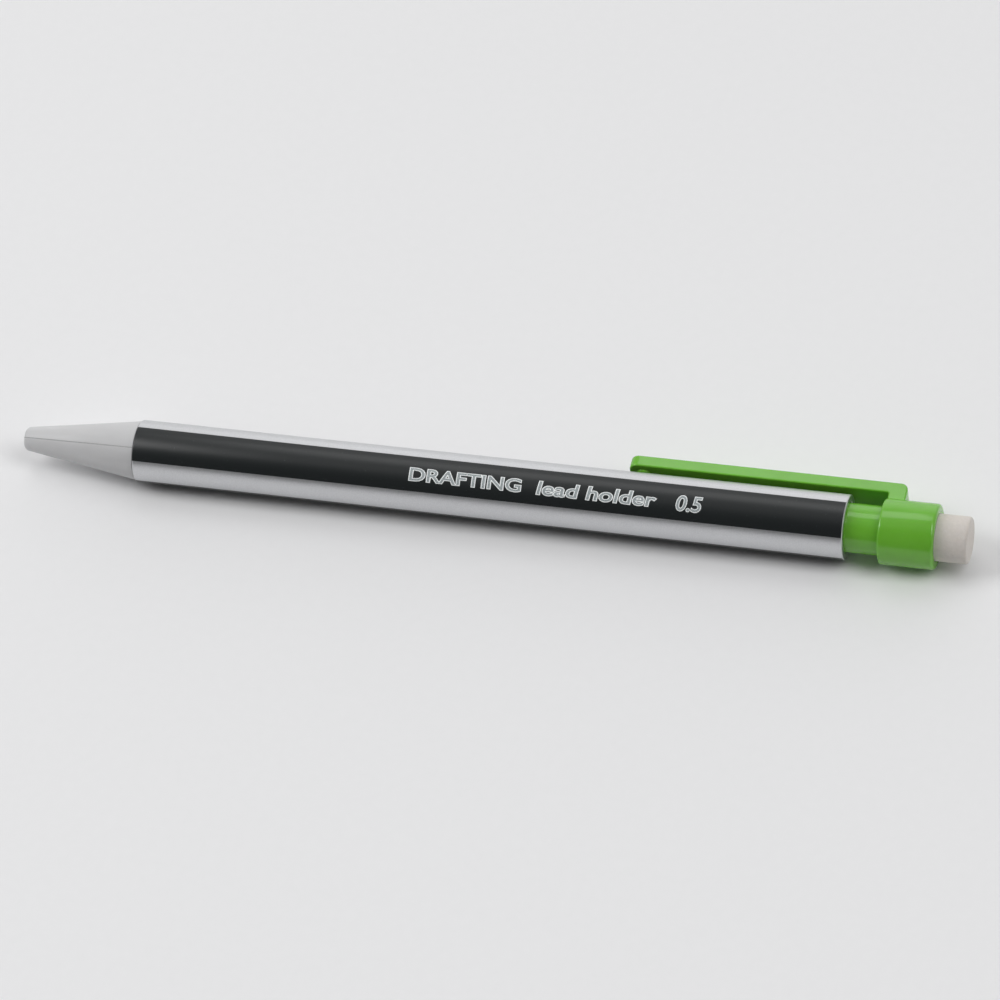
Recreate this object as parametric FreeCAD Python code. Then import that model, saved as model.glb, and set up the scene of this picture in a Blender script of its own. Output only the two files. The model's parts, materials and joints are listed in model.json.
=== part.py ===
import FreeCAD, Part

import math
import os

# Push-button lead holder (0.5 mm mechanical pencil), drawn ready for use with its sleeve drawn in.
# The row frame: +X runs from the writing tip along the axis to the eraser, the clip points to +Y,
# +Z is up, and the origin is the centre of the nose cone's end face. Lengths are in millimetres.

# --- lengths along the axis ---------------------------------------------------------------
nose_length = 17.0            # end face to the seam with the barrel
barrel_length = 102.1
tube_exposed = 4.80           # push-button tube seen between barrel and collar, at rest
collar_length = 7.8
eraser_proud = 4.5            # eraser standing out of the collar
eraser_seat_depth = 7.2       # depth of the eraser's socket in the collar
stroke = 3.5                  # travel of the push button
clutch_travel = 0.7           # travel of the clutch ring before the jaws open
sleeve_gap = 0.55             # rest gap from the tip slider to the jaws
grip_length = 24.0            # front of the barrel that is a true cylinder, before the draft
tube_engagement = 19.1        # push-button tube inside the barrel

# --- radii and walls, from the lead outwards ----------------------------------------------
lead_r = 0.28                 # a 0.5 mm lead measures 0.56 mm
lead_length = 60.0
used_lead_length = 46.0
spare_lead_count = 4
pipe_wall = 0.20
chuck_head_r = 1.45
chuck_shank_r = 1.00
reservoir_bore_r = 1.75
reservoir_wall = 0.60
housing_wall = 0.55
spigot_wall = 0.25
tube_wall = 1.05
barrel_wall = 0.87            # at the front end, over the main bore
barrel_draft = 0.15           # growth of the outer radius from front to rear
collar_step = 1.15            # collar standing above the tube
eraser_r = 3.30
nose_end_r = 1.62
nose_end_rounding = 0.6
nose_step = 0.24              # barrel standing above the nose cone at the seam

# --- clip ---------------------------------------------------------------------------------
clip_length = 39.4            # from its front end to the back of its leg
clip_leg_length = 2.5         # the leg, along the axis, flush with the collar's front face
clip_rise = 0.72              # inside of the arm above the collar's surface
clip_thickness = 1.75
clip_width = 4.0
clip_tip_rounding = 1.3       # of the front end's corners, seen from outside
clip_bump_height = 0.55       # the small dome under the arm's front end
clip_bump_r = 1.1

# --- clearances ---------------------------------------------------------------------------
running_clearance = 0.05      # radial, between turned or moulded sliding fits
loose_clearance = 0.10        # radial, where a moulded tube slides in a long bore
free_gap = 0.15               # radial, between parts that must never rub
end_gap = 0.05                # axial, between faces that only come near each other
lead_clearance = 0.015
cone_clearance = 0.02         # between the jaws' cone and the clutch ring

# --- worked out from the sizes above ------------------------------------------------------
reservoir_r = reservoir_bore_r + reservoir_wall
housing_bore_r = reservoir_r + loose_clearance
housing_r = housing_bore_r + housing_wall
spigot_bore_r = housing_r + running_clearance
spigot_r = spigot_bore_r + spigot_wall
socket_bore_r = spigot_r + running_clearance
tube_bore_r = reservoir_r + running_clearance
tube_r = tube_bore_r + tube_wall
barrel_bore_r = tube_r + loose_clearance
barrel_front_r = barrel_bore_r + barrel_wall
barrel_rear_r = barrel_front_r + barrel_draft
nose_base_r = barrel_front_r - nose_step
collar_r = tube_r + collar_step
socket_r = eraser_r + 0.02
pipe_bore_r = lead_r + 0.02
pipe_r = pipe_bore_r + pipe_wall
mouth_r = pipe_r + 0.08
slider_r = chuck_head_r + 0.25
slider_chamber_r = slider_r + running_clearance
ring_r = chuck_head_r + 0.65
ring_chamber_r = ring_r + free_gap
clip_inner = collar_r + clip_rise
clip_outer = clip_inner + clip_thickness

x_seam = nose_length
x_barrel_end = x_seam + barrel_length
x_collar = x_barrel_end + tube_exposed
x_collar_end = x_collar + collar_length
x_eraser_end = x_collar_end + eraser_proud
x_tube_start = x_barrel_end - tube_engagement
x_socket_floor = x_collar_end - eraser_seat_depth

x_housing = x_seam - 0.5                      # front face of the housing, on the nose cone's step
housing_front_wall = 1.5
housing_length = 16.0
x_housing_end = x_housing + housing_length
ring_length = 3.0
x_ring = x_housing - ring_length              # the clutch ring rests on the housing's front face
x_cone = x_ring + 0.25                        # where the jaws' head starts to narrow
cone_length = 2.5
x_ring_step = x_ring - clutch_travel - end_gap
x_jaws = x_ring - 0.95                        # front face of the chuck's jaws
x_slider_end = x_jaws - sleeve_gap
slider_length = 4.4
x_slider = x_slider_end - slider_length
sleeve_travel = stroke - sleeve_gap + end_gap
x_chamber = x_slider - sleeve_travel - end_gap
pipe_rest_inset = 0.6                         # the pipe's end lies this far inside the nose
pipe_seat_depth = 2.0
x_coupler = x_housing + 7.5
x_flange = x_coupler + 4.4
flange_length = 1.0
x_coupler_end = x_flange + flange_length + 6.6
x_reservoir = x_flange + flange_length
x_reservoir_end = x_socket_floor - 2.2
rib_length = 1.5
slit_width = 0.25
jaw_count = 3
spigot_length = 6.0

AXIS = FreeCAD.Vector(1, 0, 0)
ORIGIN = FreeCAD.Vector(0, 0, 0)


def point(x, r):
    """A point of a turned outline, at x along the axis and r from it."""
    return FreeCAD.Vector(x, r, 0)


def turned(outline):
    """A solid turned about the axis from a closed outline of (x, r) corners."""
    corners = [point(x, r) for x, r in outline]
    face = Part.Face(Part.makePolygon(corners + corners[:1]))
    return face.revolve(ORIGIN, AXIS, 360)


def rod(x_start, x_end, r):
    """A round rod along the axis."""
    return Part.makeCylinder(r, x_end - x_start, FreeCAD.Vector(x_start, 0, 0), AXIS)


def rounded_ring_edges(solid, x, r, size):
    """The solid with a fillet on each full circle of radius r at x."""
    edges = []
    for edge in solid.Edges:
        box = edge.BoundBox
        flat = abs(box.XMin - x) < 1e-4 and abs(box.XMax - x) < 1e-4
        if flat and abs(box.YMax - r) < 1e-4:
            edges.append(edge)
    return solid.makeFillet(size, edges)


def make_nose_cone():
    """A blunt cone with a sleeve chamber, a clutch chamber and a snap-in spigot."""
    bead_x = x_seam + spigot_length / 2
    outline = [
        (0, mouth_r),
        (0, nose_end_r),
        (x_seam, nose_base_r),
        (x_seam, spigot_r),
        (bead_x - 0.4, spigot_r),
        (bead_x - 0.15, spigot_r + 0.15),
        (bead_x + 0.15, spigot_r + 0.15),
        (bead_x + 0.4, spigot_r),
        (x_seam + spigot_length - 0.3, spigot_r),
        (x_seam + spigot_length, spigot_r - 0.15),
        (x_seam + spigot_length, spigot_bore_r),
        (x_housing, spigot_bore_r),
        (x_housing, ring_chamber_r),
        (x_ring_step, ring_chamber_r),
        (x_ring_step, slider_chamber_r),
        (x_chamber, slider_chamber_r),
        (x_chamber - 0.8, mouth_r),
    ]
    cone = rounded_ring_edges(turned(outline), 0, nose_end_r, nose_end_rounding)
    countersink = Part.makeCone(mouth_r + 0.35, mouth_r, 0.35, ORIGIN, AXIS)
    return cone.cut(countersink)


def make_barrel():
    """The barrel: a straight grip, then a slight draft to the rear, over stepped bores."""
    bead_x = x_seam + spigot_length / 2
    x_rib = x_housing_end
    rim = 0.12
    outline = [
        (x_seam, socket_bore_r),
        (x_seam, barrel_front_r),
        (x_seam + grip_length, barrel_front_r),
        (x_barrel_end - rim, barrel_rear_r),
        (x_barrel_end, barrel_rear_r - rim),
        (x_barrel_end, barrel_bore_r + rim),
        (x_barrel_end - rim, barrel_bore_r),
        (x_rib + rib_length, barrel_bore_r),
        (x_rib + rib_length, reservoir_r + 0.25),
        (x_rib, reservoir_r + 0.25),
        (x_rib, socket_bore_r),
        (bead_x + 0.45, socket_bore_r),
        (bead_x + 0.2, socket_bore_r + 0.15),
        (bead_x - 0.2, socket_bore_r + 0.15),
        (bead_x - 0.45, socket_bore_r),
    ]
    return rounded_ring_edges(turned(outline), x_seam, barrel_front_r, 0.2)


def edges_across(solid, x, r):
    """The straight edges that run across the clip at x, r away from the axis."""
    found = []
    for edge in solid.Edges:
        box = edge.BoundBox
        here = abs(box.XMin - x) < 1e-4 and abs(box.XMax - x) < 1e-4
        if here and abs(box.YMin - r) < 1e-4 and abs(box.YMax - r) < 1e-4:
            found.append(edge)
    return found


def make_clip():
    """The clip: an L-shaped strip on the +Y side, with a small dome under its front end."""
    x_leg = x_collar
    x_leg_end = x_leg + clip_leg_length
    x_tip = x_leg_end - clip_length
    root = collar_r - 0.8
    side = [
        (x_leg, root),
        (x_leg, clip_inner),
        (x_tip, clip_inner),
        (x_tip, clip_outer),
        (x_leg_end, clip_outer),
        (x_leg_end, root),
    ]
    corners = [FreeCAD.Vector(x, r, -clip_width / 2) for x, r in side]
    face = Part.Face(Part.makePolygon(corners + corners[:1]))
    clip = face.extrude(FreeCAD.Vector(0, 0, clip_width))
    clip = clip.makeFillet(1.0, edges_across(clip, x_leg_end, clip_outer))
    clip = clip.makeFillet(0.2, edges_across(clip, x_leg, clip_inner))
    front_corners = []
    for edge in clip.Edges:
        box = edge.BoundBox
        if box.XMax < x_tip + 1e-4 and box.YLength > clip_thickness - 1e-3:
            front_corners.append(edge)
    clip = clip.makeFillet(clip_tip_rounding, front_corners)
    ball_r = (clip_bump_r ** 2 + clip_bump_height ** 2) / (2 * clip_bump_height)
    ball_centre = FreeCAD.Vector(x_tip + clip_width / 2, clip_inner - clip_bump_height + ball_r, 0)
    ball = Part.makeSphere(ball_r, ball_centre)
    return clip.fuse(ball.common(below_arm(x_tip)))


def below_arm(x_tip):
    """A block that holds the dome under the arm and the arm's lower half, and nothing above."""
    corner = FreeCAD.Vector(x_tip, clip_inner - clip_bump_height - 0.1, -clip_width / 2)
    return Part.makeBox(clip_width, clip_bump_height + 0.1 + clip_thickness / 2, clip_width, corner)


def make_push_button():
    """One moulding: the tube that slides in the barrel, the eraser's collar, and the clip."""
    outline = [
        (x_tube_start, tube_bore_r),
        (x_tube_start, tube_r - 0.2),
        (x_tube_start + 0.2, tube_r),
        (x_collar, tube_r),
        (x_collar, collar_r),
        (x_collar_end, collar_r),
        (x_collar_end, socket_r),
        (x_socket_floor, socket_r),
        (x_socket_floor, reservoir_bore_r),
        (x_reservoir_end + end_gap, reservoir_bore_r),
        (x_reservoir_end + end_gap, tube_bore_r),
    ]
    body = turned(outline)
    body = rounded_ring_edges(body, x_collar, collar_r, 0.25)
    body = rounded_ring_edges(body, x_collar_end, collar_r, 0.35)
    return body.fuse(make_clip()).removeSplitter()


def make_eraser():
    """A plain round eraser, pressed into the collar."""
    eraser = rod(x_socket_floor + end_gap, x_eraser_end, eraser_r)
    return rounded_ring_edges(eraser, x_eraser_end, eraser_r, 0.45)


def make_lead_reservoir():
    """The long tube that holds the spare leads and carries the push to the chuck."""
    tube = rod(x_reservoir, x_reservoir_end, reservoir_r)
    return tube.cut(rod(x_reservoir, x_reservoir_end, reservoir_bore_r))


def make_chuck_coupler():
    """Joins the chuck's tail to the reservoir, with a flange for the return spring."""
    tail_seat_r = chuck_shank_r + 0.15
    nozzle_r = tail_seat_r + 0.35
    plug_r = reservoir_bore_r - running_clearance
    outline = [
        (x_coupler, tail_seat_r),
        (x_coupler, nozzle_r),
        (x_flange, nozzle_r),
        (x_flange, housing_bore_r - running_clearance - 0.02),
        (x_reservoir - end_gap, housing_bore_r - running_clearance - 0.02),
        (x_reservoir - end_gap, plug_r),
        (x_coupler_end, plug_r),
        (x_coupler_end, plug_r - 0.45),
        (x_flange + 1.6, lead_r + 0.25),
        (x_flange - 0.2, lead_r + 0.25),
        (x_flange - 0.2, tail_seat_r),
    ]
    return turned(outline)


def make_chuck():
    """A slit collet whose conical head the clutch ring closes on the lead."""
    bore_r = lead_r + lead_clearance
    x_tail = x_coupler + 0.4
    outline = [
        (x_jaws, bore_r),
        (x_jaws, chuck_head_r - 0.35),
        (x_jaws + 0.35, chuck_head_r),
        (x_cone, chuck_head_r),
        (x_cone + cone_length, chuck_shank_r),
        (x_tail, chuck_shank_r),
        (x_tail, chuck_shank_r + 0.10),
        (x_flange - 0.4, chuck_shank_r + 0.10),
        (x_flange - 0.4, bore_r),
    ]
    chuck = turned(outline)
    slit_length = x_coupler - 1.0 - x_jaws
    for jaw in range(jaw_count):
        corner = FreeCAD.Vector(x_jaws - 0.1, -slit_width / 2, 0)
        slit = Part.makeBox(slit_length, slit_width, chuck_head_r + 1, corner)
        slit.rotate(ORIGIN, AXIS, 360.0 * jaw / jaw_count)
        chuck = chuck.cut(slit)
    return chuck


def make_clutch_ring():
    """The ring that squeezes the jaws while the spring draws the chuck back."""
    bore_front = chuck_head_r + cone_clearance
    bore_rear = chuck_shank_r + cone_clearance
    outline = [
        (x_ring, bore_front),
        (x_ring, ring_r - 0.2),
        (x_ring + 0.2, ring_r),
        (x_housing - end_gap - 0.2, ring_r),
        (x_housing - end_gap, ring_r - 0.2),
        (x_housing - end_gap, bore_rear),
        (x_cone + cone_length, bore_rear),
        (x_cone, bore_front),
    ]
    return turned(outline)


def make_mechanism_housing():
    """The sleeve around the return spring, held between the nose cone and the barrel's rib."""
    flange_start = x_housing_end - 1.5
    outline = [
        (x_housing, chuck_shank_r + 0.25),
        (x_housing, housing_r),
        (flange_start, housing_r),
        (flange_start, spigot_r),
        (x_housing_end, spigot_r),
        (x_housing_end, housing_bore_r),
        (x_housing + housing_front_wall, housing_bore_r),
        (x_housing + housing_front_wall, chuck_shank_r + 0.25),
    ]
    return turned(outline)


def make_return_spring():
    """The round-wire spring between the housing's front wall and the coupler's flange."""
    wire_r = 0.17
    coil_r = housing_bore_r - wire_r - 0.2
    x_start = x_housing + housing_front_wall + wire_r + 0.03
    height = x_flange - wire_r - 0.03 - x_start
    turns = 7
    helix = Part.makeHelix(height / turns, height, coil_r)
    helix.rotate(ORIGIN, FreeCAD.Vector(0, 1, 0), 90)
    helix.translate(FreeCAD.Vector(x_start, 0, 0))
    start = helix.Edges[0].valueAt(helix.Edges[0].FirstParameter)
    along = helix.Edges[0].tangentAt(helix.Edges[0].FirstParameter)
    section = Part.Wire(Part.makeCircle(wire_r, start, along))
    return Part.Wire(helix.Edges).makePipeShell([section], True, True)


def make_tip_slider():
    """The plunger that carries the guide pipe and, behind it, the rubber lead retainer."""
    retainer_r = retainer_radius()
    x_floor = x_slider + pipe_seat_depth
    outline = [
        (x_slider, pipe_r),
        (x_slider, slider_r - 0.45),
        (x_slider + 0.6, slider_r),
        (x_slider_end, slider_r),
        (x_slider_end, retainer_r),
        (x_floor + 0.3, retainer_r),
        (x_floor + 0.3, pipe_bore_r + 0.05),
        (x_floor, pipe_bore_r + 0.05),
        (x_floor, pipe_r),
    ]
    return turned(outline)


def retainer_radius():
    """Outer radius of the lead retainer, which the slider's rear bore takes its size from."""
    return slider_r - 0.5


def make_guide_pipe():
    """The thin metal pipe that guides the lead and supports it while writing."""
    x_end = x_slider + pipe_seat_depth
    outline = [
        (pipe_rest_inset, pipe_bore_r),
        (pipe_rest_inset, pipe_r - 0.08),
        (pipe_rest_inset + 0.12, pipe_r),
        (x_end, pipe_r),
        (x_end, pipe_bore_r),
    ]
    return turned(outline)


def make_lead_retainer():
    """The small rubber bush that holds the lead while the jaws are open."""
    x_start = x_slider + pipe_seat_depth + 0.3
    x_end = x_slider_end - 0.3
    bore_r = lead_r + lead_clearance
    outline = [
        (x_start, bore_r),
        (x_start, retainer_radius()),
        (x_end, retainer_radius()),
        (x_end, bore_r + 0.3),
        (x_end - 0.3, bore_r),
    ]
    return turned(outline)


def make_lead_in_use():
    """The lead that is held in the jaws, its end just inside the guide pipe."""
    x_start = pipe_rest_inset + 0.5
    return rod(x_start, x_start + used_lead_length, lead_r)


def make_spare_leads():
    """The spare leads in the reservoir, lying beside the lead in use."""
    x_start = x_coupler_end + 4.0
    ring = reservoir_bore_r - lead_r - 0.35
    leads = []
    for number in range(spare_lead_count):
        angle = math.radians(45 + 360.0 * number / spare_lead_count)
        y = ring * math.cos(angle)
        z = ring * math.sin(angle)
        base = FreeCAD.Vector(x_start + 0.7 * number, y, z)
        leads.append(Part.makeCylinder(lead_r, lead_length, base, AXIS))
    return Part.makeCompound(leads)


PIECES = {
    "nose_cone": make_nose_cone,
    "barrel": make_barrel,
    "push_button": make_push_button,
    "eraser": make_eraser,
    "lead_reservoir": make_lead_reservoir,
    "chuck_coupler": make_chuck_coupler,
    "chuck": make_chuck,
    "clutch_ring": make_clutch_ring,
    "mechanism_housing": make_mechanism_housing,
    "return_spring": make_return_spring,
    "tip_slider": make_tip_slider,
    "guide_pipe": make_guide_pipe,
    "lead_retainer": make_lead_retainer,
    "lead_in_use": make_lead_in_use,
    "spare_leads": make_spare_leads,
}

os.makedirs("parts", exist_ok=True)
for name, make in PIECES.items():
    shape = make()
    shape.exportStep(os.path.join("parts", name + ".step"))
    box = shape.BoundBox
    print(
        f"{name}: {len(shape.Solids)} solid(s), valid {shape.isValid()},"
        f" {shape.Volume:.2f} mm3, x {box.XMin:.2f} to {box.XMax:.2f}"
    )
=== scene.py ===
# %% [markdown]
# # A push-button lead holder in Blender
# The real object is a plain drafting pencil for 0.5 mm leads: a silver-lacquered barrel with
# black hot-foil stripes, a satin nose cone, a polished lime push button with its clip moulded on,
# and a vinyl eraser. Its mechanism of brass, steel and plastic is hidden inside.
# The design is already fixed in CAD, in metres. This lesson loads it as a frame that is never
# changed, builds the outer pieces again as fine meshes in the same place, and gives every piece
# the material of the real one.

import json
import math

import bmesh
import bpy
from mathutils import Matrix, Quaternion, Vector


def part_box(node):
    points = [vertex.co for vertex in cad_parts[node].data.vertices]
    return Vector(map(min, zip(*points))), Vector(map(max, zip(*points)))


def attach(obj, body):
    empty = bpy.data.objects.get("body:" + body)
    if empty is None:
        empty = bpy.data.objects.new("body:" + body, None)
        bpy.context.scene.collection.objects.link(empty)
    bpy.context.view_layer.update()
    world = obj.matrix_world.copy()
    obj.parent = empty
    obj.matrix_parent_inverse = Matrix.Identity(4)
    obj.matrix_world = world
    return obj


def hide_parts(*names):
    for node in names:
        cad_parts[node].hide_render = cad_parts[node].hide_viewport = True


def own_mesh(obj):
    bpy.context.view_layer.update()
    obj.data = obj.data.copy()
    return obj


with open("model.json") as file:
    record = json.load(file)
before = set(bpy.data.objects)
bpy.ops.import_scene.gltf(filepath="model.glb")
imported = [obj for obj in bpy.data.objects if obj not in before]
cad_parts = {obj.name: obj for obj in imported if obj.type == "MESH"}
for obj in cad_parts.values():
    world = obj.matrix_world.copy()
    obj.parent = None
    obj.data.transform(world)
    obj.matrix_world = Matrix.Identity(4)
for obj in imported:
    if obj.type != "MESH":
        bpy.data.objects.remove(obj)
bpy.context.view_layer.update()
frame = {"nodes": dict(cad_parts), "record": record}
MM = 0.001

# %% [markdown]
# ## Sizes
# Each size is read from the frame where the frame has it, so a piece can't drift away from the
# design. Only what a box doesn't tell, such as a wall or a rounding, is written here, in
# millimetres.

# %% Sizes read from the frame
barrel_start, barrel_end = (corner[0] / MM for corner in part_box("barrel"))
barrel_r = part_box("barrel")[1][2] / MM
grip = next(m for m in frame["record"]["mounts"] if m["name"] == "barrel_grip")
grip_r = grip["dims"]["r_mm"]
grip_end = grip["pos_m"][0] / MM + grip["dims"]["length_mm"] / 2
nose_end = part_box("nose_cone")[1][0] / MM
nose_base_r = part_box("nose_cone")[1][2] / MM
button_low, button_high = (Vector(corner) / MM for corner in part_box("push_button"))
collar_r = button_high.z
clip_outer = button_high.y
clip_tip = button_low.x
collar_end = button_high.x
eraser_low, eraser_high = (Vector(corner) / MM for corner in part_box("eraser"))
eraser_r = eraser_high.z
reservoir_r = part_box("lead_reservoir")[1][2] / MM
print("barrel", barrel_start, barrel_end, barrel_r, "grip", grip_r, grip_end)
print("button", button_low, button_high, "eraser", eraser_low, eraser_high)

# %% [markdown]
# The rest is written once, here: the nose cone's blunt end, the clip's strip and the depths of
# what slides into what.

# %% Sizes that the boxes don't tell
nose_tip_r = 1.62
nose_tip_rounding = 0.6
mouth_r = 0.58
collar_length = 7.8
tube_r = 3.45
tube_inside = 19.1
clip_width = 4.0
clip_thickness = 1.75
clip_leg_length = 2.5
bore_r = 3.55
collar_start = collar_end - collar_length
clip_inner = clip_outer - clip_thickness

# %% [markdown]
# ## Helpers for materials
# Colours are written as the hex values that a paint chart would give, and one function turns them
# into the linear numbers that the renderer works with. Another adds a node with its settings and
# its links. No real surface is one flat colour, so a third function makes a finish: its colour and
# its relief follow the same fine pattern, whose size and depth are given in real millimetres.

# %% Colour, node and finish
def colour(hex_value):
    """Linear RGBA of an sRGB hex value such as "8CC63F"."""
    channels = [int(hex_value[i:i + 2], 16) / 255 for i in (0, 2, 4)]
    linear = [c / 12.92 if c <= 0.04045 else ((c + 0.055) / 1.055) ** 2.4 for c in channels]
    return (*linear, 1.0)


def add_node(tree, kind, settings=None, inputs=None):
    """A new node with its settings, and each input given a value or linked to a socket."""
    node = tree.nodes.new(kind)
    for name, value in (settings or {}).items():
        setattr(node, name, value)
    for name, value in (inputs or {}).items():
        if isinstance(value, bpy.types.NodeSocket):
            tree.links.new(value, node.inputs[name])
        else:
            node.inputs[name].default_value = value
    return node


def finish(name, tones, grain_mm, relief_mm, stretch=(1, 1, 1), detail=3.0, **sockets):
    """A material with tones (position, hex) and a relief that follow a pattern of real size."""
    material = bpy.data.materials.new(name)
    material.use_nodes = True
    tree = material.node_tree
    shader = tree.nodes["Principled BSDF"]
    for socket, value in sockets.items():
        shader.inputs[socket.replace("_", " ")].default_value = value
    place = add_node(tree, "ShaderNodeTexCoord")
    drawn = add_node(tree, "ShaderNodeMapping", {}, {
        "Vector": place.outputs["Object"], "Scale": stretch})
    pattern = add_node(tree, "ShaderNodeTexNoise", {}, {
        "Vector": drawn.outputs["Vector"], "Scale": 1 / (grain_mm * MM), "Detail": detail})
    shades = add_node(tree, "ShaderNodeValToRGB", {}, {"Fac": pattern.outputs["Fac"]})
    stops = shades.color_ramp.elements
    while len(stops) < len(tones):
        stops.new(0.5)
    for stop, (position, hex_value) in zip(stops, tones):
        stop.position = position
        stop.color = colour(hex_value)
    relief = add_node(tree, "ShaderNodeBump", {}, {
        "Height": pattern.outputs["Fac"], "Distance": relief_mm * MM})
    tree.links.new(shades.outputs["Color"], shader.inputs["Base Color"])
    tree.links.new(relief.outputs["Normal"], shader.inputs["Normal"])
    return material


# %% [markdown]
# ## The camera
# The pencil lies slanting across the picture, seen from a steep angle with a long lens, which
# keeps its far and near ends almost the same size. The camera is placed by its direction from the
# pencil and then rolled about its own axis, as a hand holds it.

# %% Camera
view_azimuth = math.radians(21.66)
view_elevation = math.radians(52.0)
view_roll = math.radians(-11.17)
view_distance = 0.90963
look_at = Vector((69.117, 0.158, -2.646)) * MM
towards_camera = Vector((
    math.sin(view_azimuth) * math.cos(view_elevation),
    -math.cos(view_azimuth) * math.cos(view_elevation),
    math.sin(view_elevation),
))
camera_data = bpy.data.cameras.new("camera")
camera_data.sensor_width = 36.0
camera_data.lens = 234.0
camera_data.clip_start = 0.05
camera = bpy.data.objects.new("camera", camera_data)
bpy.context.collection.objects.link(camera)
camera.location = look_at + towards_camera * view_distance
upright = towards_camera.to_track_quat("Z", "Y")
camera.rotation_mode = "QUATERNION"
camera.rotation_quaternion = upright @ Quaternion((0, 0, 1), view_roll)
bpy.context.scene.camera = camera
bpy.context.scene.view_settings.view_transform = "Standard"
print("camera at", [round(v, 3) for v in camera.location])

# %% [markdown]
# ## Floor and light
# The pencil rests on its collar and on the front of its barrel, which is a little thinner, so the
# floor is tilted by about a tenth of a degree to touch both. It is plain matt card.

# %% Floor
def finish_object(bm, name, material, smooth_angle=35):
    """Turns a bmesh into an object at the origin, smooth apart from its sharp edges."""
    mesh = bpy.data.meshes.new(name)
    bm.to_mesh(mesh)
    bm.free()
    mesh.shade_smooth()
    mesh.set_sharp_from_angle(angle=math.radians(smooth_angle))
    mesh.materials.append(material)
    piece = bpy.data.objects.new(name, mesh)
    bpy.context.collection.objects.link(piece)
    return piece


card = finish(
    "matt_card", [(0.3, "ECECED"), (0.7, "EDEDEE")], 1.5, 0.004, detail=4.0,
    Roughness=0.85, Specular_IOR_Level=0.2)
floor_half = 3.0
floor_tilt = math.atan2(collar_r - grip_r, collar_start - barrel_start)
bm = bmesh.new()
bmesh.ops.create_grid(bm, x_segments=1, y_segments=1, size=floor_half)
bmesh.ops.rotate(bm, verts=bm.verts, matrix=Matrix.Rotation(floor_tilt, 3, "Y"))
bmesh.ops.translate(bm, verts=bm.verts, vec=Vector((
    collar_start * MM, 0, -collar_r * MM)))
floor = finish_object(bm, "floor", card)
print("floor tilt in degrees:", round(math.degrees(floor_tilt), 3))

# %% [markdown]
# The light is a tent, as studios use for small shiny things: a soft box on the left, a weaker one
# on the right and a third, weak one at the back. The two at the sides give the soft short shadows.

# %% Soft boxes
light_distance = 1.2


def soft_box(name, azimuth, elevation, width, height, watts):
    """A flat area light aimed at the pencil; azimuth runs from +X towards +Y, in degrees."""
    turn, rise = math.radians(azimuth), math.radians(elevation)
    direction = Vector((
        math.cos(rise) * math.cos(turn), math.cos(rise) * math.sin(turn), math.sin(rise)))
    data = bpy.data.lights.new(name, "AREA")
    data.shape = "RECTANGLE"
    data.size = width
    data.size_y = height
    data.energy = watts
    light = bpy.data.objects.new(name, data)
    bpy.context.collection.objects.link(light)
    light.location = Vector((look_at.x, 0, 0)) + direction * light_distance
    light.rotation_mode = "QUATERNION"
    light.rotation_quaternion = direction.to_track_quat("Z", "Y")


soft_box("soft_box_left", 188, 43, 0.5, 0.8, 6.1)
soft_box("soft_box_right", -8, 52, 0.5, 1.0, 4.5)
soft_box("soft_box_back", 110, 60, 0.5, 0.5, 1.4)

# %% [markdown]
# The walls are pale, brightest low at the back, with a dark front where the camera looks in. They
# and the box at the back give the long smooth reflections along the barrel and the button.

# %% Walls of the light tent
wall_brightness = [
    (-0.5, 0.08), (-0.2, 0.30), (0.1, 0.44), (0.4, 0.42), (0.7, 0.52), (0.9, 1.15), (1.0, 1.10)]
brightest = max(value for _, value in wall_brightness)
world = bpy.data.worlds.new("light_tent")
bpy.context.scene.world = world
world.use_nodes = True
tree = world.node_tree
direction = add_node(tree, "ShaderNodeTexCoord")
parts = add_node(tree, "ShaderNodeSeparateXYZ", {}, {"Vector": direction.outputs["Generated"]})
to_back = add_node(tree, "ShaderNodeMapRange", {}, {
    "Value": parts.outputs["Y"], "From Min": -1.0, "From Max": 1.0})
walls = add_node(tree, "ShaderNodeValToRGB", {}, {"Fac": to_back.outputs["Result"]})
stops = walls.color_ramp.elements
while len(stops) < len(wall_brightness):
    stops.new(0.5)
for stop, (back, value) in zip(stops, wall_brightness):
    stop.position = (back + 1) / 2
    stop.color = (*[value / brightest] * 3, 1)
background = tree.nodes["Background"]
background.inputs["Strength"].default_value = brightest
tree.links.new(walls.outputs["Color"], background.inputs["Color"])

# %% [markdown]
# ## Silver lacquer for the barrel
# The barrel is a plastic moulding sprayed with a silver metallic lacquer. Its fine aluminium
# flakes lie flat under the surface, so it reflects like a blurred mirror with a slight sparkle.
# A metallic shader with a medium roughness gives the blur, and a fine noise in its colour gives
# the flakes, drawn coarser than the real 0.03 mm so that they show.

# %% Silver lacquer
silver_lacquer = finish(
    "silver_lacquer_on_ABS", [(0.3, "C9CACC"), (0.7, "D6D7D9")], 0.15, 0.003,
    Metallic=1.0, Roughness=0.36)
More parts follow.
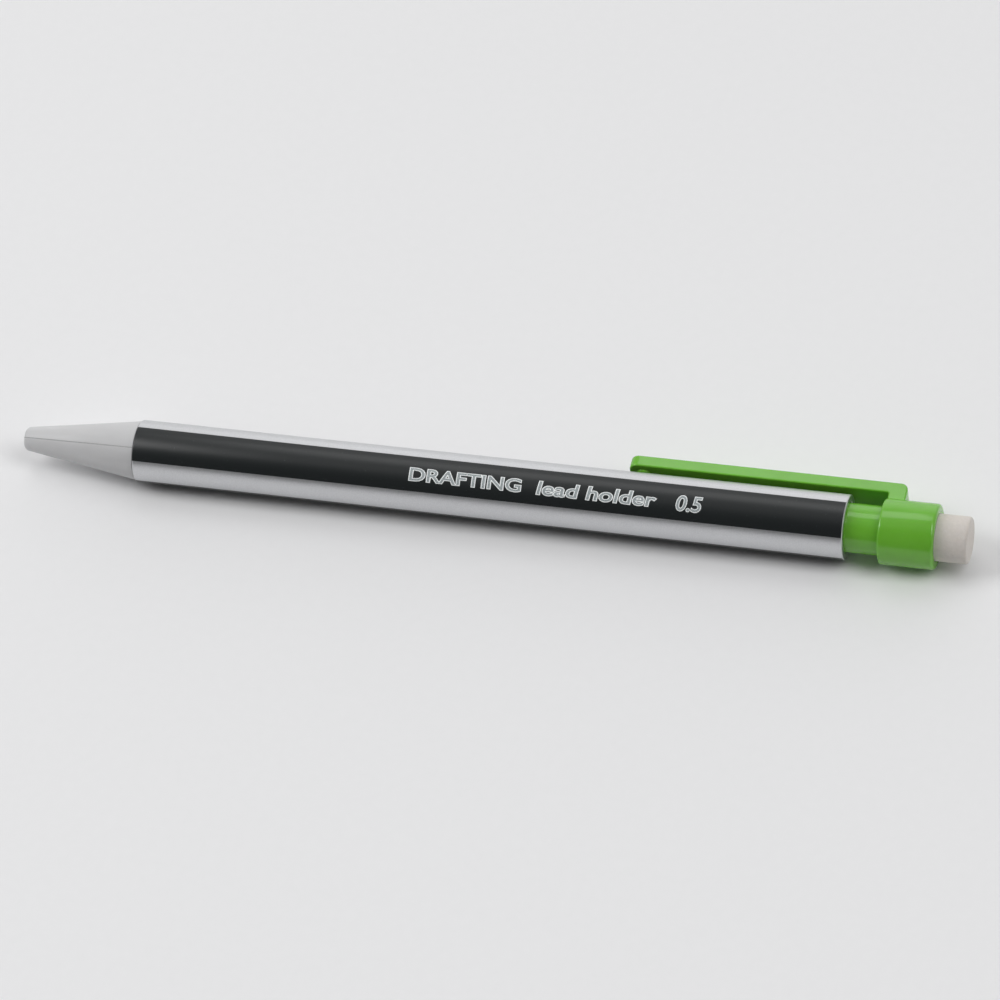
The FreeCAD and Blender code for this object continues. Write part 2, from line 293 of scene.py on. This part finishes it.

# %% [markdown]
# ## Black hot foil and silver print
# The stripes are pigment foil, pressed on with a hot roller: black, satin-glossy, with dust
# pinholes and hair scratches that run along the barrel. The scratches are a second noise, drawn
# out along the barrel, in the relief. The print is the same kind of foil in silver. The hot stamp
# presses the middle of each stroke in and leaves its edges bright. The middle of each stroke is
# given a darker grey, painted shade for its pressed-in hollow, so the print has two tones.

# %% Foils
black_foil = finish(
    "black_hot_foil", [(0.0, "1B1F20"), (0.735, "1B1F20"), (0.76, "5A5F60")], 0.18, 0.002,
    detail=2.0, Roughness=0.32)
tree = black_foil.node_tree
place = add_node(tree, "ShaderNodeTexCoord")
drawn = add_node(tree, "ShaderNodeMapping", {}, {
    "Vector": place.outputs["Object"], "Scale": (0.04, 1, 1)})
scratches = add_node(tree, "ShaderNodeTexNoise", {}, {
    "Vector": drawn.outputs["Vector"], "Scale": 1 / (0.2 * MM), "Detail": 4.0})
relief = add_node(tree, "ShaderNodeBump", {}, {
    "Height": scratches.outputs["Fac"], "Distance": 0.002 * MM})
tree.links.new(relief.outputs["Normal"], tree.nodes["Bump"].inputs["Normal"])

silver_foil = finish(
    "silver_hot_foil", [(0.35, "EDF2F2"), (0.6, "FAFCFC")], 0.15, 0.002,
    Metallic=0.0, Roughness=0.4)
# Darker grey for the middle of each stroke: painted shade for the pressed-in hollow.
print_middle_painted_shade = finish(
    "silver_hot_foil_painted_shade", [(0.35, "80888A"), (0.6, "ADB5B7")], 0.12, 0.002,
    Metallic=0.0, Roughness=0.5)

# %% [markdown]
# ## Moulded plastics
# The nose cone is satin grey ABS. The button is polished lime ABS. Both let some light in, which
# softens their shadows and makes thin edges glow, so they get a subsurface scattering with a
# radius of about half a millimetre. Inside, the housing and coupler are black acetal, the slider
# is white acetal and the reservoir is natural polypropylene.

# %% Plastics
nose_abs = finish(
    "satin_grey_ABS", [(0.3, "C4C4C5"), (0.7, "CBCBCC")], 2.5, 0.004, (0.3, 1, 1),
    Roughness=0.42, IOR=1.53, Subsurface_Weight=0.15,
    Subsurface_Radius=(1.0, 0.9, 0.8), Subsurface_Scale=0.4 * MM)
# Darker grey for the faces of the parting-line groove: painted shade for the groove.
parting_line_painted_shade = finish(
    "satin_grey_ABS_painted_shade_in_parting_line", [(0.3, "A2A2A4"), (0.7, "B2B2B3")], 0.5, 0.004,
    Roughness=0.6, IOR=1.53)
lime_abs = finish(
    "polished_lime_ABS", [(0.3, "6BB133"), (0.7, "70B638")], 3.0, 0.003,
    Roughness=0.16, IOR=1.54, Subsurface_Weight=0.35,
    Subsurface_Radius=(0.6, 1.0, 0.25), Subsurface_Scale=0.5 * MM)
black_acetal = finish(
    "black_acetal", [(0.3, "1C1C1E"), (0.7, "242427")], 0.3, 0.003, Roughness=0.38, IOR=1.48)
white_acetal = finish(
    "white_acetal", [(0.3, "DEDDD8"), (0.7, "E8E7E2")], 0.3, 0.003, Roughness=0.35, IOR=1.48)
natural_pp = finish(
    "natural_polypropylene", [(0.3, "D9DDDE"), (0.7, "E6E9EA")], 1.5, 0.003,
    Roughness=0.3, IOR=1.49)
nitrile_rubber = finish(
    "nitrile_rubber", [(0.3, "1A1A1A"), (0.7, "262524")], 0.1, 0.004, Roughness=0.75, IOR=1.52)

# %% [markdown]
# ## Eraser vinyl
# The eraser is a chalky off-white vinyl, matt, with fine pits that hold a little graphite dust,
# which is the dark end of its tones.

# %% Eraser vinyl
eraser_vinyl = finish(
    "eraser_vinyl", [(0.17, "8F867E"), (0.27, "CEC8C1"), (0.7, "D6D0CA")], 0.45, 0.012,
    detail=4.0, Roughness=0.78, Specular_IOR_Level=0.35, Subsurface_Weight=0.2,
    Subsurface_Radius=(1.0, 0.8, 0.6), Subsurface_Scale=0.5 * MM)

# %% [markdown]
# ## Metals and lead of the mechanism
# Turned brass and drawn steel show fine lines around or along the piece, so their pattern is
# squeezed in one direction. A lead is baked graphite and clay: dark, with a soft metallic gloss.

# %% Metals and graphite
around = (8, 0.6, 0.6)
along = (0.1, 4, 4)
turned_brass = finish(
    "turned_brass", [(0.3, "C79A4E"), (0.7, "E3BE74")], 0.3, 0.003, around,
    Metallic=1.0, Roughness=0.24)
spring_steel = finish(
    "spring_steel_wire", [(0.3, "A9AAAC"), (0.7, "C9CACC")], 0.3, 0.003, along,
    Metallic=1.0, Roughness=0.28)
stainless_tube = finish(
    "stainless_tube", [(0.3, "B9BABC"), (0.7, "D6D7D9")], 0.3, 0.003, along,
    Metallic=1.0, Roughness=0.22)
graphite = finish(
    "graphite_lead", [(0.3, "3A3A3D"), (0.7, "56565A")], 0.2, 0.003, along,
    Metallic=1.0, Roughness=0.42)
print(len(bpy.data.materials), "materials so far")

# %% [markdown]
# ## Turned pieces
# Barrel, nose cone, button and eraser are all round, so each is made as on a lathe: half of its
# section is drawn as a chain of points, and spun a full turn about the axis. Corners that are
# rounded on the real piece are then bevelled, by the place of their ring of edges.

# %% A lathe
def turned(outline, steps=144):
    """A bmesh spun about the X axis from a closed chain of (x, r) points in millimetres."""
    bm = bmesh.new()
    verts = [bm.verts.new((x * MM, 0, r * MM)) for x, r in outline]
    edges = [bm.edges.new((verts[i - 1], verts[i])) for i in range(len(verts))]
    bmesh.ops.spin(
        bm, geom=verts + edges, cent=(0, 0, 0), axis=(1, 0, 0), angle=2 * math.pi,
        steps=steps, use_merge=True, use_duplicate=False)
    bmesh.ops.remove_doubles(bm, verts=bm.verts, dist=1e-7)
    bmesh.ops.recalc_face_normals(bm, faces=bm.faces)
    return bm


def ring_edges(bm, x, r):
    """The edges of the ring at x with radius r, in millimetres."""
    def on_ring(vert):
        return abs(vert.co.x / MM - x) < 2e-3 and abs(vert.co.yz.length / MM - r) < 2e-3
    return [edge for edge in bm.edges if all(on_ring(vert) for vert in edge.verts)]


def round_edges(bm, edges, size, segments=4):
    """Bevels edges to a round of this size in millimetres."""
    bmesh.ops.bevel(
        bm, geom=edges, offset=size * MM, offset_type="OFFSET", affect="EDGES",
        segments=segments, profile=0.5, material=-1)


# %% [markdown]
# ### The barrel
# A tube with a straight grip and then a slight draft, which lets it out of its mould. Its front
# edge is softly rounded where it meets the nose cone, and its rear end has a narrow rim. Inside
# are the socket for the nose cone, a rib for the mechanism and the bore for the button.

# %% Barrel
rim = 0.12
front_round = 0.2
rib_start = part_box("mechanism_housing")[1][0] / MM
rib_length = 1.5
rib_clearance = 0.25
rib_end = rib_start + rib_length
socket_r = 3.35
bm = turned([
    (barrel_start, socket_r),
    (barrel_start, grip_r),
    (grip_end, grip_r),
    (barrel_end - rim, barrel_r),
    (barrel_end, barrel_r - rim),
    (barrel_end, bore_r + rim),
    (barrel_end - rim, bore_r),
    (rib_end, bore_r),
    (rib_end, reservoir_r + rib_clearance),
    (rib_start, reservoir_r + rib_clearance),
    (rib_start, socket_r),
])
round_edges(bm, ring_edges(bm, barrel_start, grip_r), front_round, 5)
barrel = finish_object(bm, "barrel_shell", silver_lacquer)
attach(barrel, "holder")
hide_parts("barrel")
print("barrel faces:", len(barrel.data.polygons))

# %% [markdown]
# ### The black stripes
# Three stripes of foil run the whole length, with bare silver between them. Each is made by
# spinning one long line through the stripe's angle, and then given the thickness of the foil,
# so it lies on the barrel as the real foil does and ends just short of both rims.

# %% Foil stripes
stripe_angle = 68.5
first_stripe_centre = 112.05          # from +Y towards +Z
foil_thickness = 0.01
foil_gap = 0.004                      # under the foil, so that the surfaces don't coincide
rim_gap = 0.125                       # of bare silver behind the stripe
stripe_steps = 40


def barrel_radius(x):
    """Outer radius of the barrel at x, in millimetres."""
    draft = max(0.0, (x - grip_end) / (barrel_end - rim - grip_end))
    return grip_r + (barrel_r - grip_r) * draft


def around_axis(x, angle, r):
    """The point at x, r from the axis, turned by angle from +Y towards +Z; all in millimetres."""
    return Vector((x, r * math.cos(angle), r * math.sin(angle))) * MM


for number in range(3):
    centre = math.radians(first_stripe_centre + 120 * number)
    start = centre - math.radians(stripe_angle / 2)
    bm = bmesh.new()
    stations = [
        (barrel_start + front_round * (1 - math.cos(math.radians(turn))),
         grip_r - front_round * (1 - math.sin(math.radians(turn))))
        for turn in (20, 45, 70)
    ]
    stations += [
        (x, barrel_radius(x))
        for x in (barrel_start + front_round, grip_end, barrel_end - rim_gap)
    ]
    line = [bm.verts.new(around_axis(x, start, r + foil_gap)) for x, r in stations]
    chain = [bm.edges.new(pair) for pair in zip(line, line[1:])]
    bmesh.ops.spin(
        bm, geom=line + chain, cent=(0, 0, 0), axis=(1, 0, 0),
        angle=math.radians(stripe_angle), steps=stripe_steps, use_duplicate=False)
    bmesh.ops.recalc_face_normals(bm, faces=bm.faces)
    first_face = bm.faces[:][0]
    away_from_axis = first_face.calc_center_median() * Vector((0, 1, 1))
    if first_face.normal.dot(away_from_axis) < 0:
        bmesh.ops.reverse_faces(bm, faces=bm.faces)
    bmesh.ops.solidify(bm, geom=bm.faces[:], thickness=-foil_thickness * MM)
    stripe = finish_object(bm, f"foil_stripe_{number + 1}", black_foil)
    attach(stripe, "holder")
print("stripes span", stripe_angle, "degrees each")

# %% [markdown]
# ### The print
# Plain words for what the thing is stand where a maker would print a name. The letters are set
# flat as text, turned into a mesh, sliced into narrow bands so that they can bend, and then
# wrapped round the barrel on top of the black foil.

# %% Print on the stripe
print_angle = first_stripe_centre + 2.3
cap_height = 0.72                     # of a capital letter, as a share of the font's size
band_height = 0.25
edge_width = 0.11
middle_width = 0.01
edge_lift = 0.016                     # above the barrel, just over the black foil
middle_lift = 0.021
print_thickness = 0.004


def wrap_on_barrel(bm, x_start, angle, lift):
    """Lays a flat bmesh, drawn in millimetres on XY, round the barrel."""
    for vert in bm.verts:
        x = x_start + vert.co.x
        r = barrel_radius(x) + lift
        vert.co = around_axis(x, angle - vert.co.y / r, r)


def slice_in_bands(bm, low, high):
    """Cuts a flat bmesh along lines of constant Y."""
    for band in range(1, int((high - low) / band_height) + 1):
        level = Vector((0, low + band * band_height, 0))
        bmesh.ops.bisect_plane(
            bm, geom=bm.verts[:] + bm.edges[:] + bm.faces[:], plane_co=level,
            plane_no=(0, 1, 0), dist=1e-6)


def flat_words(words, height, slant, weight):
    """Words as a flat bmesh in millimetres, with strokes made wider by weight on each side."""
    curve = bpy.data.curves.new(words, "FONT")
    curve.body = words
    curve.size = height / cap_height
    curve.shear = slant
    curve.offset = weight
    curve.resolution_u = 4
    carrier = bpy.data.objects.new(words, curve)
    bpy.context.collection.objects.link(carrier)
    graph = bpy.context.evaluated_depsgraph_get()
    flat = bpy.data.meshes.new_from_object(carrier.evaluated_get(graph))
    bpy.data.objects.remove(carrier)
    bm = bmesh.new()
    bm.from_mesh(flat)
    bpy.data.meshes.remove(flat)
    bmesh.ops.remove_doubles(bm, verts=bm.verts, dist=1e-5)
    return bm


def printed(name, words, x_start, height, slant, width):
    """Words in silver foil, from x_start over a width, standing along the stripe's middle."""
    wide = flat_words(words, height, slant, edge_width)
    low = min(vert.co.x for vert in wide.verts)
    high = max(vert.co.x for vert in wide.verts)
    wide.free()
    stretch = width / (high - low)
    # The middle of each stroke wears the darker grey, which is painted shade.
    for part, weight, lift, foil in (
            ("edge", edge_width, edge_lift, silver_foil),
            ("middle", middle_width, middle_lift, print_middle_painted_shade)):
        bm = flat_words(words, height, slant, weight)
        bmesh.ops.translate(bm, verts=bm.verts, vec=(-low, -height / 2, 0))
        bmesh.ops.scale(bm, verts=bm.verts, vec=(stretch, 1, 1))
        slice_in_bands(bm, -height, height)
        wrap_on_barrel(bm, x_start, math.radians(print_angle), lift)
        bmesh.ops.solidify(bm, geom=bm.faces[:], thickness=print_thickness * MM)
        piece = finish_object(bm, f"{name}_{part}", foil)
        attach(piece, "holder")
    print(name, "stretched by", round(stretch, 2))


printed("print_use", "DRAFTING", 57.3, 1.85, 0.0, 16.2)
printed("print_kind", "lead holder", 75.6, 1.95, 0.1, 17.2)
printed("print_size", "0.5", 95.5, 2.2, 0.12, 3.7)

# %% [markdown]
# ### The nose cone
# A blunt cone with a small mouth for the guide pipe. It is moulded in two halves of a steel
# mould, which leaves a hair-fine parting line along both sides. The line is a real groove:
# the mesh is cut on both sides of the parting plane and the middle is pressed in. Its faces
# also get a darker grey, which is painted shade for the groove.

# %% Nose cone
seam_gap = 0.09
seam_depth = 0.35
mouth_chamfer = 0.35
spigot_r = 3.30
spigot_bore_r = 3.05
chamber_r = 1.75
ring_chamber_r = 2.25
chamber_start = 4.5
ring_step = 12.75
housing_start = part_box("mechanism_housing")[0][0] / MM
bm = turned([
    (mouth_chamfer, mouth_r),
    (0, mouth_r + mouth_chamfer),
    (0, nose_tip_r),
    (barrel_start - seam_gap, nose_base_r),
    (barrel_start - seam_gap, nose_base_r - seam_depth),
    (barrel_start, nose_base_r - seam_depth),
    (barrel_start, spigot_r),
    (nose_end - 0.3, spigot_r),
    (nose_end, spigot_r - 0.15),
    (nose_end, spigot_bore_r),
    (housing_start, spigot_bore_r),
    (housing_start, ring_chamber_r),
    (ring_step, ring_chamber_r),
    (ring_step, chamber_r),
    (chamber_start, chamber_r),
    (chamber_start - 0.8, mouth_r),
])
round_edges(bm, ring_edges(bm, 0, nose_tip_r), nose_tip_rounding, 6)
round_edges(bm, ring_edges(bm, barrel_start - seam_gap, nose_base_r), 0.05, 2)

parting_angle = math.radians(121.5)     # of the parting plane, from +Y towards +Z
groove_half_width = 0.06
groove_depth = 0.04
skin = 0.3                              # deep enough to hold only the cone's outer surface
plane_normal = Vector((0, -math.sin(parting_angle), math.cos(parting_angle)))
for side in (-groove_half_width, 0, groove_half_width):
    bmesh.ops.bisect_plane(
        bm, geom=bm.verts[:] + bm.edges[:] + bm.faces[:], plane_co=plane_normal * side * MM,
        plane_no=plane_normal, dist=1e-8)
for vert in bm.verts:
    r = vert.co.yz.length / MM
    cone_r = nose_tip_r + (nose_base_r - nose_tip_r) * vert.co.x / MM / barrel_start
    outside = 0.05 < vert.co.x / MM < barrel_start - seam_gap and r > cone_r - skin
    if outside and abs(vert.co.dot(plane_normal)) < 1e-6:
        vert.co.yz = vert.co.yz * (1 - groove_depth / r)
# The groove's faces get the darker grey, which is painted shade for the groove.
for face in bm.faces:
    middle = face.calc_center_median()
    cone_r = nose_tip_r + (nose_base_r - nose_tip_r) * middle.x / MM / barrel_start
    in_groove = abs(middle.dot(plane_normal)) / MM < groove_half_width
    on_skin = middle.yz.length / MM > cone_r - skin
    if in_groove and on_skin and middle.x / MM < barrel_start - seam_gap:
        face.material_index = 1
nose = finish_object(bm, "nose_cone_shell", nose_abs, 30)
nose.data.materials.append(parting_line_painted_shade)
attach(nose, "holder")
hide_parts("nose_cone")
print("nose cone faces:", len(nose.data.polygons))

# %% [markdown]
# ### The push button
# One moulding: a tube that slides in the barrel, a collar that holds the eraser, and the clip.
# Tube and collar are turned. The collar's two rims are softly rounded, as the mould leaves them.

# %% Tube and collar
tube_start = barrel_end - tube_inside
tube_chamfer = 0.2
bridge_bore_r = 1.75
socket_floor = eraser_low.x - 0.05
eraser_socket_r = eraser_r + 0.02
tube_bore_r = reservoir_r + 0.05
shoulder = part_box("lead_reservoir")[1][0] / MM + 0.05
bm = turned([
    (tube_start, tube_bore_r),
    (tube_start, tube_r - tube_chamfer),
    (tube_start + tube_chamfer, tube_r),
    (collar_start, tube_r),
    (collar_start, collar_r),
    (collar_end, collar_r),
    (collar_end, eraser_socket_r),
    (socket_floor, eraser_socket_r),
    (socket_floor, bridge_bore_r),
    (shoulder, bridge_bore_r),
    (shoulder, tube_bore_r),
])
round_edges(bm, ring_edges(bm, collar_start, collar_r), 0.35, 5)
round_edges(bm, ring_edges(bm, collar_end, collar_r), 0.45, 5)
round_edges(bm, ring_edges(bm, collar_end, eraser_socket_r), 0.12, 3)
button = finish_object(bm, "button_body", lime_abs)
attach(button, "button")
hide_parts("push_button")
print("button faces:", len(button.data.polygons))

# %% [markdown]
# ### The clip
# The clip is an L-shaped strip, drawn from the side and pulled out to its width. Its front corners
# are rounded first, then its heel, and last all its long edges get the small radius of the mould.
# Its wide faces are flat on the real clip, so they are shaded flat and only the rounds are smooth.
# Under its tip sits a small dome, part of a ball, which grips the pocket.

# %% Clip
def edges_along(bm, axis):
    """The edges that run along one axis."""
    found = []
    for edge in bm.edges:
        run = (edge.verts[1].co - edge.verts[0].co).normalized()
        if abs(run[axis]) > 0.999:
            found.append(edge)
    return found


def near(edge, x=None, y=None):
    """Whether an edge's middle is at x and y, in millimetres, where they are given."""
    middle = (edge.verts[0].co + edge.verts[1].co) / 2 / MM
    return (x is None or abs(middle.x - x) < 1e-3) and (y is None or abs(middle.y - y) < 1e-3)


leg_start = collar_start
leg_end = leg_start + clip_leg_length
leg_root = collar_r - 0.8               # sunk into the collar, which hides the joint
front_corner_round = 1.3
heel_round = 1.0
crook_round = 0.2
edge_round = 0.18
side_view = [
    (leg_start, leg_root), (leg_start, clip_inner), (clip_tip, clip_inner),
    (clip_tip, clip_outer), (leg_end, clip_outer), (leg_end, leg_root),
]
bm = bmesh.new()
corners = [bm.verts.new((x * MM, y * MM, -clip_width / 2 * MM)) for x, y in side_view]
face = bm.faces.new(corners)
pulled = bmesh.ops.extrude_face_region(bm, geom=[face])
moved = [item for item in pulled["geom"] if isinstance(item, bmesh.types.BMVert)]
bmesh.ops.translate(bm, verts=moved, vec=(0, 0, clip_width * MM))
bmesh.ops.recalc_face_normals(bm, faces=bm.faces)
front_corners = [edge for edge in edges_along(bm, 1) if near(edge, x=clip_tip)]
round_edges(bm, front_corners, front_corner_round, 8)
heel = [edge for edge in edges_along(bm, 2) if near(edge, x=leg_end, y=clip_outer)]
round_edges(bm, heel, heel_round, 8)
crook = [edge for edge in edges_along(bm, 2) if near(edge, x=leg_start, y=clip_inner)]
round_edges(bm, crook, crook_round, 4)
sharp = [
    edge for edge in bm.edges
    if len(edge.link_faces) == 2 and edge.calc_face_angle() > math.radians(60)
    and not near(edge, y=leg_root)
]
round_edges(bm, sharp, edge_round, 3)

dome_height = 0.55
dome_half_width = 1.1
dome_sink = 0.25                        # into the strip, so that no gap shows
ball_r = (dome_half_width ** 2 + dome_height ** 2) / (2 * dome_height)
ball_place = Vector((clip_tip + clip_width / 2, clip_inner - dome_height + ball_r, 0)) * MM
ball = bmesh.ops.create_uvsphere(
    bm, u_segments=32, v_segments=16, radius=ball_r * MM, matrix=Matrix.Translation(ball_place))
ball_faces = {face for vert in ball["verts"] for face in vert.link_faces}
ball_edges = {edge for face in ball_faces for edge in face.edges}
cut = bmesh.ops.bisect_plane(
    bm, geom=ball["verts"] + list(ball_edges) + list(ball_faces),
    plane_co=Vector((0, clip_inner + dome_sink, 0)) * MM, plane_no=(0, 1, 0), clear_outer=True)
rim_edges = [item for item in cut["geom_cut"] if isinstance(item, bmesh.types.BMEdge)]
bmesh.ops.edgeloop_fill(bm, edges=rim_edges)
clip = finish_object(bm, "clip", lime_abs, 30)
flat_area = 2.0 * MM * MM               # a rounding's faces are all smaller than this
for face in clip.data.polygons:
    face.use_smooth = face.area < flat_area
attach(clip, "button")
print("clip faces:", len(clip.data.polygons))

# %% [markdown]
# ### The eraser
# A round stub of vinyl, cut square and a little softened at its edge by use.

# %% Eraser
worn_round = 0.4
bm = turned([
    (eraser_low.x, 0.0),
    (eraser_low.x, eraser_r),
    (eraser_high.x, eraser_r),
    (eraser_high.x, 0.0),
], 96)
round_edges(bm, ring_edges(bm, eraser_high.x, eraser_r), worn_round, 5)
stub = finish_object(bm, "eraser_stub", eraser_vinyl)
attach(stub, "rubber")
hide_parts("eraser")

# %% [markdown]
# ### The return spring
# A spring of round steel wire, wound on a mandrel. It closes up as the button is pressed, so it is
# its own piece here: a disc of wire spun round the axis with a step along it.

# %% Return spring
wire_r = 0.17
spring_turns = 7
steps_per_turn = 40
spring_low, spring_high = (Vector(corner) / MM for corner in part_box("return_spring"))
spring_length = spring_high.x - spring_low.x
coil_r = spring_high.z - wire_r
step_count = spring_turns * steps_per_turn
step_along = (spring_length - 2 * wire_r) / step_count
wire_start = Matrix.Translation(Vector((spring_low.x + wire_r, 0, coil_r)) * MM)
bm = bmesh.new()
bmesh.ops.create_circle(
    bm, cap_ends=True, segments=12, radius=wire_r * MM,
    matrix=wire_start @ Matrix.Rotation(math.radians(90), 4, "X"))
bmesh.ops.spin(
    bm, geom=bm.verts[:] + bm.edges[:] + bm.faces[:], cent=(0, 0, 0), axis=(1, 0, 0),
    dvec=(step_along * MM, 0, 0), angle=2 * math.pi * spring_turns, steps=step_count)
bmesh.ops.recalc_face_normals(bm, faces=bm.faces)
spring = finish_object(bm, "spring_coil", spring_steel)
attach(spring, "holder")
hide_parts("return_spring")
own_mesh(spring)
print("spring faces:", len(spring.data.polygons), "length in mm:", round(spring_length, 2))

# %% [markdown]
# ## The mechanism
# The other inner pieces keep the shape that the CAD gives them. Each gets the material of the
# real piece in its material slot.

# %% Materials on the CAD nodes
INNER = {
    "lead_reservoir": natural_pp,
    "chuck_coupler": black_acetal,
    "chuck": turned_brass,
    "clutch_ring": turned_brass,
    "mechanism_housing": black_acetal,
    "tip_slider": white_acetal,
    "guide_pipe": stainless_tube,
    "lead_retainer": nitrile_rubber,
    "lead_in_use": graphite,
    "spare_leads": graphite,
}
for node, material in INNER.items():
    mesh = frame["nodes"][node].data
    mesh.materials.clear()
    mesh.materials.append(material)
print(len(INNER), "inner pieces finished")
